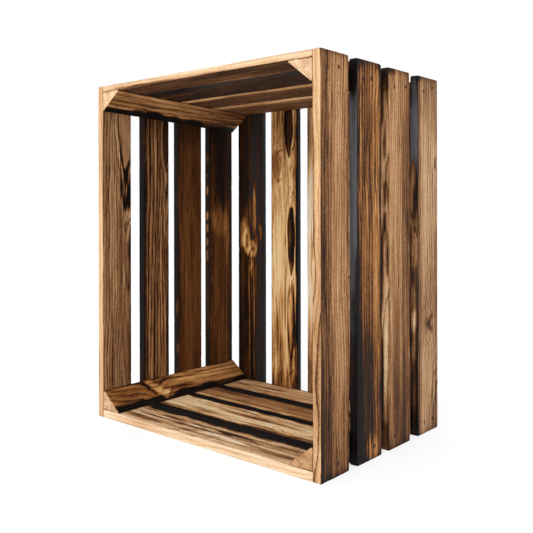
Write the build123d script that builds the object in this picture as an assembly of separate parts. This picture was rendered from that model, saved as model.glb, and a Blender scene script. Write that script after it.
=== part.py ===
from build123d import *
import math
import os

# Wooden apple crate of nailed boards, standing on one of its short ends with its open side
# facing -Y.  X runs across the crate (left to right), Y runs from the open side to the slatted
# base, Z is up along the 500 mm length.  The origin is the centre of the footprint.  Millimetres.

# ---- driving dimensions -------------------------------------------------------------------
crate_width = 410.0
crate_depth = 300.0
crate_length = 500.0

side_thick = 11.5
top_thick = 9.0
bottom_thick = 12.0
base_thick = 9.0

# Board widths and the gaps between them.  The boards of the four walls run from the open side
# to the base; the boards of the base run from the left to the right.
left_widths = (55.0, 54.5, 55.0, 58.5)
left_gaps = (26.0, 21.5, 20.5)
right_widths = (59.0, 58.0, 56.5, 59.0)
right_gaps = (18.0, 17.5, 23.0)
top_widths = (52.0, 60.0, 58.0, 68.0)
top_gaps = (18.0, 16.0, 19.0)
bottom_widths = (61.0, 63.0, 53.0, 60.0)
bottom_gaps = (20.0, 15.0, 19.0)
base_widths = (57.0, 57.0, 57.0, 58.0, 58.5)
base_gaps = (18.5, 19.5, 15.0, 15.5)

# The side boards' top ends are sawn a little askew: how far each board's two corners, nearer the
# open side and nearer the base, are below the full length.
left_short = ((0.0, 0.5), (0.8, 0.3), (0.4, 1.4), (1.0, 1.6))
right_short = ((0.0, 0.3), (0.2, 1.6), (1.0, 2.8), (1.0, 1.8))

# The top end frame sits slightly crooked: level with the side boards at the open side and
# this much lower than them at the base.
top_drop = 11.0

# Corner posts: triangular strips with slightly blunted tips.
post_leg_x = 36.0
post_leg_z = 29.0
post_blunt = 2.0

# Wire nails, driven just below the surface of the wood.
nail_length = 21.0
nail_diameter = 2.0
nail_head_diameter = 3.6
nail_head_thick = 0.8
nail_point = 3.2
nail_sink = 0.5
end_nail_spread = 17.0      # from the middle of an end board to each of its two nails
end_nail_from_side = 15.0   # from the inner face of the side wall
base_nail_spread = 16.0     # from the middle of a base board to each of its two nails

# The side boards' nails were placed by eye.  For each board from the open side to the base: the
# two nails at its top, as (offset from the board's middle, distance below the top end's outer
# face), then the two at its bottom, as (offset, height).
left_nails = (
    ((-13.0, 18.0), (11.5, 16.0), (-14.0, 16.5), (12.0, 15.0)),
    ((-12.0, 16.5), (13.0, 19.0), (-11.0, 15.5), (14.0, 17.0)),
    ((-14.0, 19.5), (10.5, 17.0), (-12.5, 17.5), (11.0, 15.5)),
    ((-11.5, 17.0), (13.5, 15.5), (-13.0, 16.0), (12.5, 18.0)),
)
right_nails = (
    ((-14.7, 19.5), (8.8, 15.5), (-17.5, 16.5), (5.0, 14.5)),
    ((-15.5, 20.5), (6.0, 17.0), (-12.0, 16.5), (11.0, 15.5)),
    ((-12.0, 19.0), (17.5, 14.0), (-13.0, 16.0), (12.0, 18.5)),
    ((-12.0, 12.0), (13.5, 3.0), (-11.0, 16.5), (13.0, 15.5)),
)

# ---- sizes that follow ----------------------------------------------------------------------
front_y = -crate_depth / 2
back_y = crate_depth / 2
base_y = back_y - base_thick
wall_depth = base_y - front_y
outer_x = crate_width / 2
inner_x = outer_x - side_thick
top_angle = math.degrees(math.atan2(top_drop, wall_depth))
base_span = sum(base_widths) + sum(base_gaps)
trim = 2.0                  # extra length that is cut off again along the open side and the base


def block(x_range, y_range, z_range):
    """A straight block between three pairs of limits."""
    ranges = (x_range, y_range, z_range)
    size = [high - low for low, high in ranges]
    middle = [(high + low) / 2 for low, high in ranges]
    return Pos(*middle) * Box(*size)


def spans(start, widths, gaps):
    """The start and end of each board in a row of boards and gaps."""
    found = []
    for width, gap in zip(widths, tuple(gaps) + (0.0,)):
        found.append((start, start + width))
        start += width + gap
    return found


def middle_of(span):
    return (span[0] + span[1]) / 2


def top_surface(y):
    """Height of the top end frame's outer face at depth y."""
    return crate_length - top_drop * (y - front_y) / wall_depth


def tilt_top(shape):
    """Turn a piece of the top end frame about its upper front edge, down towards the base."""
    lift = Pos(0, front_y, crate_length)
    return lift * Rot(-top_angle, 0, 0) * lift.inverse() * shape


def cut_to_depth(shape):
    """Cut a piece level with the open side and with the base boards."""
    reach = 2 * crate_length
    slab = block((-reach, reach), (front_y, base_y), (-reach, reach))
    return shape & slab


# ---- boards ---------------------------------------------------------------------------------
left_spans = spans(front_y, left_widths, left_gaps)
right_spans = spans(front_y, right_widths, right_gaps)
top_spans = spans(front_y, top_widths, top_gaps)
bottom_spans = spans(front_y, bottom_widths, bottom_gaps)
base_spans = spans(-base_span / 2, base_widths, base_gaps)


def side_board(sign, span, short):
    """An upright board of the left (sign -1) or right (sign +1) wall."""
    x = min(sign * inner_x, sign * outer_x)
    corners = ((span[0], 0), (span[1], 0), (span[1], crate_length - short[1]),
               (span[0], crate_length - short[0]))
    face = make_face(Polyline(*[(x, y, z) for y, z in corners], close=True))
    return extrude(face, amount=side_thick, dir=(1, 0, 0))


def base_board(span):
    return block(span, (base_y, back_y), (0, crate_length))


def bottom_board(span):
    return block((-inner_x, inner_x), span, (0, bottom_thick))


def top_board(span):
    """A board of the top end, with spare length in Y where the end frame is cut level."""
    low = span[0] - trim if span[0] == front_y else span[0]
    high = span[1] + trim if span is top_spans[-1] else span[1]
    flat = block((-inner_x, inner_x), (low, high), (crate_length - top_thick, crate_length))
    return cut_to_depth(tilt_top(flat))


# ---- corner posts ---------------------------------------------------------------------------
def corner_post(side, up):
    """A triangular strip in a corner: side is -1 left or +1 right, up is +1 top or -1 bottom."""
    seat = crate_length - top_thick if up > 0 else bottom_thick
    section = (
        (0, 0),
        (post_leg_x, 0),
        (post_leg_x, post_blunt),
        (post_blunt, post_leg_z),
        (0, post_leg_z),
    )
    points = [(side * (inner_x - dx), front_y - trim, seat - up * dz) for dx, dz in section]
    face = make_face(Polyline(*points, close=True))
    return extrude(face, amount=wall_depth + 2 * trim, dir=(0, 1, 0))


def post(side, up):
    strip = corner_post(side, up)
    return cut_to_depth(tilt_top(strip) if up > 0 else strip)


# ---- nails ----------------------------------------------------------------------------------
def nail():
    """A wire nail pointing down along -Z, with the wood's surface at Z = 0."""
    shank_r = nail_diameter / 2
    head_r = nail_head_diameter / 2
    under_head = -nail_sink - nail_head_thick
    tip = -nail_sink - nail_length
    outline = (
        (0, tip),
        (shank_r, tip + nail_point),
        (shank_r, under_head),
        (head_r, under_head),
        (head_r, -nail_sink),
        (0, -nail_sink),
    )
    points = [(radius, 0, height) for radius, height in outline]
    return revolve(make_face(Polyline(*points, close=True)), axis=Axis.Z)


def pocket():
    """The open hollow above a sunk nail head."""
    depth = nail_sink + nail_head_thick / 2
    return Pos(0, 0, -depth / 2) * Cylinder(nail_head_diameter / 2, depth)


def nail_and_pocket(place):
    return place * nail(), place * pocket()


def side_nails(sign, side_spans, rows):
    """Nails through the ends of one side wall's boards, driven inwards along X."""
    made = []
    for span, row in zip(side_spans, rows):
        for number, (offset, distance) in enumerate(row):
            y = middle_of(span) + offset
            z = top_surface(y) - distance if number < 2 else distance
            place = Pos(sign * outer_x, y, z) * Rot(0, sign * 90, 0)
            made.append(nail_and_pocket(place))
    return made


def bottom_nails():
    """Nails through the bottom end's boards into the two lower posts, driven upwards."""
    made = []
    for span in bottom_spans:
        for offset in (-end_nail_spread, end_nail_spread):
            for side in (-1, 1):
                x = side * (inner_x - end_nail_from_side)
                made.append(nail_and_pocket(Pos(x, middle_of(span) + offset, 0) * Rot(180, 0, 0)))
    return made


def top_nails():
    """Nails through the top end's boards into the two upper posts, driven square to the boards."""
    made = []
    for span in top_spans:
        for offset in (-end_nail_spread, end_nail_spread):
            for side in (-1, 1):
                x = side * (inner_x - end_nail_from_side)
                parts = nail_and_pocket(Pos(x, middle_of(span) + offset, crate_length))
                made.append([tilt_top(part) for part in parts])
    return made


def base_nails():
    """Nails through the base boards into the edges of the end boards, driven along -Y."""
    heights = (bottom_thick / 2, top_surface(base_y) - top_thick / 2)
    made = []
    for span in base_spans:
        for offset in (-base_nail_spread, base_nail_spread):
            for z in heights:
                place = Pos(middle_of(span) + offset, back_y, z) * Rot(-90, 0, 0)
                made.append(nail_and_pocket(place))
    return made


def boxes_meet(first, second):
    """Whether two shapes' bounding boxes overlap."""
    a, b = first.bounding_box(), second.bounding_box()
    pairs = ((a.min.X, a.max.X, b.min.X, b.max.X), (a.min.Y, a.max.Y, b.min.Y, b.max.Y),
             (a.min.Z, a.max.Z, b.min.Z, b.max.Z))
    return all(low_a < high_b and low_b < high_a for low_a, high_a, low_b, high_b in pairs)


def drill(piece, nails):
    """Cut the hole of every nail that reaches into a wooden piece."""
    tools = []
    for body, hollow in nails:
        if boxes_meet(piece, body) or boxes_meet(piece, hollow):
            tools += [body, hollow]
    return piece.cut(*tools) if tools else piece


# ---- the assembly ---------------------------------------------------------------------------
def wooden_pieces():
    """Every board and post by name, before drilling."""
    pieces = {}
    for number, (span, short) in enumerate(zip(left_spans, left_short), 1):
        pieces[f"left_side_slat_{number}"] = side_board(-1, span, short)
    for number, (span, short) in enumerate(zip(right_spans, right_short), 1):
        pieces[f"right_side_slat_{number}"] = side_board(1, span, short)
    for number, span in enumerate(top_spans, 1):
        pieces[f"top_end_slat_{number}"] = top_board(span)
    for number, span in enumerate(bottom_spans, 1):
        pieces[f"bottom_end_slat_{number}"] = bottom_board(span)
    for number, span in enumerate(base_spans, 1):
        pieces[f"base_slat_{number}"] = base_board(span)
    for side, side_name in ((-1, "left"), (1, "right")):
        for up, up_name in ((1, "upper"), (-1, "lower")):
            pieces[f"{up_name}_{side_name}_post"] = post(side, up)
    return pieces


nail_groups = {
    "left_side_nails": side_nails(-1, left_spans, left_nails),
    "right_side_nails": side_nails(1, right_spans, right_nails),
    "top_end_nails": top_nails(),
    "bottom_end_nails": bottom_nails(),
    "base_nails": base_nails(),
}
all_nails = [pair for group in nail_groups.values() for pair in group]

os.makedirs("parts", exist_ok=True)
for name, piece in wooden_pieces().items():
    export_step(drill(piece, all_nails), f"parts/{name}.step")
for name, group in nail_groups.items():
    export_step(Compound(children=[body for body, hollow in group]), f"parts/{name}.step")
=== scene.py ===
import math

import bpy
import numpy as np
from mathutils import Matrix, Vector


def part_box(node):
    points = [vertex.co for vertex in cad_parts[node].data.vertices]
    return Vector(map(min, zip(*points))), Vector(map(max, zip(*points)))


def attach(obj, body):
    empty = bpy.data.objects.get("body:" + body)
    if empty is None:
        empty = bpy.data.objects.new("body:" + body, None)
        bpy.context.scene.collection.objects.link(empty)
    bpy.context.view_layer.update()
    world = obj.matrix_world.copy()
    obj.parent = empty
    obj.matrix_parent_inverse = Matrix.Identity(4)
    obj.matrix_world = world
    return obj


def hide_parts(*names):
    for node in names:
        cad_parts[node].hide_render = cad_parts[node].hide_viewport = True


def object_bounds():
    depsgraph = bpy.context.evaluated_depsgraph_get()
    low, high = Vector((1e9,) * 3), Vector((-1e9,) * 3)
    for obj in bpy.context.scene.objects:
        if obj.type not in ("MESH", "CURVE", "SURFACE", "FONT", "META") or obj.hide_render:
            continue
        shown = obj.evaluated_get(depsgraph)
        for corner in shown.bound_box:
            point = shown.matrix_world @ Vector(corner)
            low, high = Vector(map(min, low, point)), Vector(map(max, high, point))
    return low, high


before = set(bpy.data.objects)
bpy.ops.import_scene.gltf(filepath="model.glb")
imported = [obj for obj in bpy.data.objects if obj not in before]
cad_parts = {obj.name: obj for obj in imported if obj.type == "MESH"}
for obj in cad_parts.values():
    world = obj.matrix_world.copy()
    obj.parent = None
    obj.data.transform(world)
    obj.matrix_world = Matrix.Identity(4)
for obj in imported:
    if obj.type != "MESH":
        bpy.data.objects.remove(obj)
cad_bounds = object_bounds()
scene = bpy.context.scene

# Wooden apple crate.  Every board and post is a fine mesh built round the box of its CAD node,
# with worn arrises, raised grain and nail craters.  A piece's own coordinates are millimetres:
# u along the grain, v across it and w through the thickness.
MM = 0.001

# ---- repeatable noise ----
HASH = [np.uint32(k) for k in (374761393, 668265263, 2246822519, 3266489917, 1274126177)]


def lattice_value(ix, iy, iz, seed):
    """A repeatable value from -1 to 1 at each whole-number point."""
    h = ix.astype(np.uint32) * HASH[0] + iy.astype(np.uint32) * HASH[1]
    h += iz.astype(np.uint32) * HASH[2] + np.full_like(h, seed % 65521) * HASH[3]
    h = (h ^ (h >> np.uint32(13))) * HASH[4]
    h = h ^ (h >> np.uint32(16))
    return (h & np.uint32(0xFFFF)).astype(float) / 32767.5 - 1.0


def noise(x, y=0.0, z=0.0, seed=0):
    """Value noise from -1 to 1, one lump per unit."""
    x, y, z = np.broadcast_arrays(*(np.asarray(a, float) for a in (x, y, z)))
    corners, blends = [], []
    for a in (x, y, z):
        low = np.floor(a)
        part = a - low
        corners.append(low.astype(np.int64))
        blends.append(part * part * (3 - 2 * part))
    total = np.zeros(x.shape)
    for i in (0, 1):
        for j in (0, 1):
            for k in (0, 1):
                share = np.ones(x.shape)
                for step, blend in zip((i, j, k), blends):
                    share = share * (blend if step else 1 - blend)
                total += share * lattice_value(
                    corners[0] + i, corners[1] + j, corners[2] + k, seed)
    return total


def fractal(x, y=0.0, z=0.0, seed=0, octaves=3):
    """Layers of noise, each half as large and half as strong as the one before."""
    total, strength = 0.0, 1.0
    for layer in range(octaves):
        scale = 2.0 ** layer
        total = total + strength * noise(x * scale, y * scale, z * scale, seed + 17 * layer)
        strength *= 0.5
    return total / (2 - 2.0 ** (1 - octaves))


def smooth(low, high, x):
    t = np.clip((x - low) / (high - low), 0, 1)
    return t * t * (3 - 2 * t)


# ---- where the pieces are ----
SIDES = (("left", -1), ("right", 1))
front_y = cad_bounds[0][1]
top_z = cad_bounds[1][2]
base_low, base_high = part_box("base_slat_1")
base_thick = base_high.y - base_low.y
inner_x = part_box("right_side_slat_1")[0].x

# The top end frame is crooked: it drops evenly from the open side to the base.
top_first, top_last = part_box("top_end_slat_1"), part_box("top_end_slat_4")
TOP_SLOPE = (top_first[1].z - top_last[1].z) / (top_last[0].y - top_first[0].y)


class Place:
    """How a piece's own (u, v, w) in millimetres sits in the crate, in metres."""

    def __init__(self, origin, along, across, through, size, slope=0.0):
        self.origin = np.array(origin, float)
        self.axes = np.array([along, across, through], float)
        self.size = np.array(size, float) / MM
        self.slope = slope

    def world(self, points):
        xyz = self.origin + (points * MM) @ self.axes
        xyz[:, 2] -= self.slope * (xyz[:, 1] - front_y)
        return xyz

    def local(self, xyz):
        xyz = np.array(xyz, float)
        xyz[:, 2] += self.slope * (xyz[:, 1] - front_y)
        return ((xyz - self.origin) @ self.axes.T) / MM


def box_place(name, along, across, through):
    """A level board's place: its origin is the corner of its box that its axes point away from."""
    low, high = (np.array(corner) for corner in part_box(name))
    axes = np.array([along, across, through])
    return Place(np.where(axes.sum(0) > 0, low, high), *axes, np.abs(axes) @ (high - low))


def top_place(name):
    low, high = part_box(name)
    size = (high.x - low.x, high.y - low.y, base_thick)
    return Place((low.x, low.y, top_z - base_thick), (1, 0, 0), (0, 1, 0), (0, 0, 1), size,
                 TOP_SLOPE)


def post_place(name, sign, up):
    """u from the open side to the base, v from the side wall inwards, w from the end boards
    inwards."""
    low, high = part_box(name)
    level_low, level_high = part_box("lower_left_post")
    size = (high.y - low.y, high.x - low.x, level_high.z - level_low.z)
    z = top_z - base_thick if up > 0 else low.z
    return Place((sign * inner_x, front_y, z), (0, 1, 0), (-sign, 0, 0), (0, 0, -up), size,
                 TOP_SLOPE if up > 0 else 0.0)


# ---- nails ----
NAIL_AXES = {"left_side_nails": (0, -1), "right_side_nails": (0, 1), "top_end_nails": (2, 1),
             "bottom_end_nails": (2, -1), "base_nails": (1, 1)}
HEAD_DEPTH = 1.6 * MM     # only heads reach this near the outermost point
NAIL_REACH = 8 * MM       # points this near one another are one head's


def nail_heads():
    """The middle of every nail head, on the outside of the crate, from the nails' meshes."""
    heads = []
    for name, (axis, sign) in NAIL_AXES.items():
        co = np.array([v.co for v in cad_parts[name].data.vertices], float)
        drop = TOP_SLOPE * (co[:, 1] - front_y) if name.startswith("top") else 0.0
        level = sign * co[:, axis] + drop
        co = co[level > level.max() - HEAD_DEPTH]
        flat = [a for a in range(3) if a != axis]
        while len(co):
            near = np.abs(co[:, flat] - co[0, flat]).max(1) < NAIL_REACH
            heads.append((co[near].min(0) + co[near].max(0)) / 2)
            co = co[~near]
    return np.array(heads)


NAIL_HEADS = nail_heads()

# ---- grids ----
ARRIS_STEPS = (0.0, 0.35, 0.8, 1.5)     # rows of points beside an arris
CRATER_STEPS = (-3.0, -2.4, -1.85, -1.0, 0.0, 1.0, 1.85, 2.4, 3.0)     # and round a nail
ALONG_STEP, ACROSS_STEP = 2.5, 1.15     # between rows elsewhere


def stations(length, step, middles=()):
    """Places along one side of a piece, closer at both ends and round each nail."""
    first = ARRIS_STEPS[-1]
    count = max(2, round((length - 2 * first) / step) + 1)
    special = [*ARRIS_STEPS, *(length - s for s in ARRIS_STEPS)]
    special += [m + s for m in middles for s in CRATER_STEPS if first < m + s < length - first]
    special = np.sort(np.array(special))
    special = special[np.concatenate([[True], np.diff(special) > 0.2])]
    inner = np.linspace(first, length - first, count)
    apart = np.abs(inner[:, None] - special[None, :]).min(1) > 0.42 * step
    return np.sort(np.concatenate([special, inner[apart]]))


def long_piece(us, section):
    """Points (u, v, w) and quads of a closed piece that runs along u.  section is a grid of
    (v, w) points: its rim is carried along u, and the whole grid closes each end."""
    nv, nw = section.shape[:2]
    rim = [(i, 0) for i in range(nv)] + [(nv - 1, j) for j in range(1, nw)]
    rim += [(i, nw - 1) for i in range(nv - 2, -1, -1)] + [(0, j) for j in range(nw - 2, 0, -1)]
    rim = np.array(rim)
    count, rows = len(rim), len(us)
    tube = np.column_stack([
        np.repeat(us, count), np.tile(section[rim[:, 0], rim[:, 1]], (rows, 1))])
    inside = section[1:-1, 1:-1].reshape(-1, 2)
    ring, step = np.arange(count)[None, :], np.arange(rows - 1)[:, None] * count
    a, b = step + ring, step + (ring + 1) % count
    points, quads = [tube], [np.stack([a, b, b + count, a + count], -1).reshape(-1, 4)]
    for end, u in ((0, us[0]), (1, us[-1])):
        start = len(tube) + end * len(inside)
        points.append(np.column_stack([np.full(len(inside), u), inside]))
        index = np.empty((nv, nw), int)
        index[1:-1, 1:-1] = start + np.arange(len(inside)).reshape(nv - 2, nw - 2)
        index[rim[:, 0], rim[:, 1]] = (rows - 1) * count * end + np.arange(count)
        cells = np.stack([index[:-1, :-1], index[:-1, 1:], index[1:, 1:], index[1:, :-1]], -1)
        cells = cells.reshape(-1, 4)
        quads.append(cells[:, ::-1] if end else cells)
    return np.concatenate(points), np.concatenate(quads)


def place_in_scene(name, data):
    thing = bpy.data.objects.new(name, data)
    scene.collection.objects.link(thing)
    return thing


def make_mesh(name, points, quads, layers):
    """An object of quads that face outwards, with a point attribute for each layer."""
    a, b, c = (points[quads[:, k]] for k in (0, 1, 2))
    if np.einsum("ij,ij->i", a - points.mean(0), np.cross(b - a, c - a)).sum() < 0:
        quads = quads[:, ::-1]
    mesh = bpy.data.meshes.new(name)
    mesh.vertices.add(len(points))
    mesh.vertices.foreach_set("co", points.astype(np.float32).ravel())
    mesh.loops.add(quads.size)
    mesh.loops.foreach_set("vertex_index", quads.astype(np.int32).ravel())
    mesh.polygons.add(len(quads))
    mesh.polygons.foreach_set("loop_start", np.arange(0, quads.size, 4, dtype=np.int32))
    mesh.update(calc_edges=True)
    mesh.validate()
    mesh.shade_smooth()
    for key, values in layers.items():
        if values.ndim == 1:
            mesh.attributes.new(key, "FLOAT", "POINT").data.foreach_set(
                "value", values.astype(np.float32))
        else:
            mesh.attributes.new(key, "FLOAT_VECTOR", "POINT").data.foreach_set(
                "vector", values.astype(np.float32).ravel())
    return place_in_scene(name, mesh)


# ---- looks of the single boards ----
# Darkness runs from 0, raw wood, to 1, charred black.
#   seed      its own random numbers
#   seen      the face that was finished with most care: "in" or "out"
#   dark      darkness of that face, back of the opposite face, edge0 and edge1 of the narrow
#             faces at v = 0 and at the full width, ends of the end grain
#   lines     how strongly the growth rings show, rim of the narrow face at v = 0
#   pith      (v, depth below the seen face, change of v, change of depth) of the heart, from
#             one end to the other
#   spacing   of the growth rings;  wave is how far they wander
#   blotch, streaks, saw   how uneven, streaky and saw-marked;  warm is orange, or pink below 0
#   arris, bite   how dark the long arrises are and how far that reaches;  soot is painted grey sheen, a painted reflection on the char of the narrow faces
#   ragged    strength of the flame's ragged streaks;  end_warm, rim_warm are warm for
#             the end grain at u = 0 and the narrow face at v = 0
#   corner    wear of the corners, the open side's first
#   patches   by face: (u, v, half length, half width, softness, change of darkness)
#   bloom     patches of that painted grey sheen on char
#   swells    (u, v, half length, half width, rings) where the rings bulge
#   lenses    (face, u, v, half length, half width, rings, change inside, change of its outline)
#   knots     (u, v, radius, darkness);  dents are chips, (u, v, w, radius)
DEFAULT = dict(
    seen="in", back=0.52, edge0=0.94, edge1=0.94, ends=0.62, lines=0.22, rim=0.1,
    pith=(-60, 50, 0, 0), spacing=4.6, wave=10, blotch=0.1, streaks=1, saw=0.3, warm=0, end_warm=0,
    rim_warm=0, arris=0.22, bite=2, ragged=0.1, painted_sheen=0, corner=(0.9, 0.9), patches={}, sheen_patches={},
    swells=(), lenses=(), knots=(), dents=())
TOP_END = dict(wave=6, blotch=0.09, streaks=1.1, arris=0.1, corner=(0.2, 0.2))
BOTTOM_END = dict(corner=(0.25, 0.25))

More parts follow.
